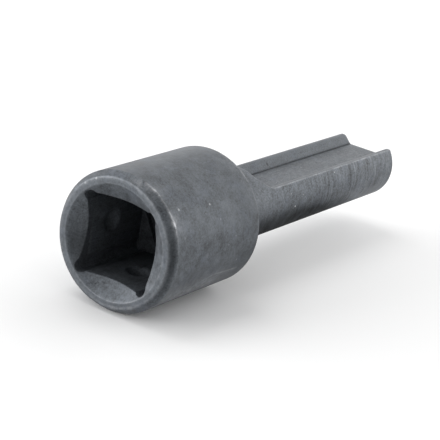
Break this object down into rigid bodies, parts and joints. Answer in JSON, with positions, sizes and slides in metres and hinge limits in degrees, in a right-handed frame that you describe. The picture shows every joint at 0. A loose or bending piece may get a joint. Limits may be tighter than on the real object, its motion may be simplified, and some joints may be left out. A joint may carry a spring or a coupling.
{
  "type": "drain plug key socket",
  "caption": "Square-drive key socket: a round countersunk drive head with a pressed-in round shank, channelled along its top, that turns recessed oil drain plugs.",
  "frame": {"origin": "under the middle of the tool, on the surface that the head lies on: x at mid-length, y on the tool's axis, z at the underside of the head", "axes": "+X along the tool from the drive face to the key's tip, +Z out of the channel, +Y completes the right-handed frame"},
  "size_m": [0.0756, 0.0222, 0.0222],
  "materials": {
    "head_steel": "dark grey phosphated steel, satin",
    "key_steel": "dark grey phosphated steel, satin, with fine turning marks"
  },
  "bodies": {
    "root": {"drive_head": "head_steel", "channel_key": "key_steel"}
  },
  "joints": []
}
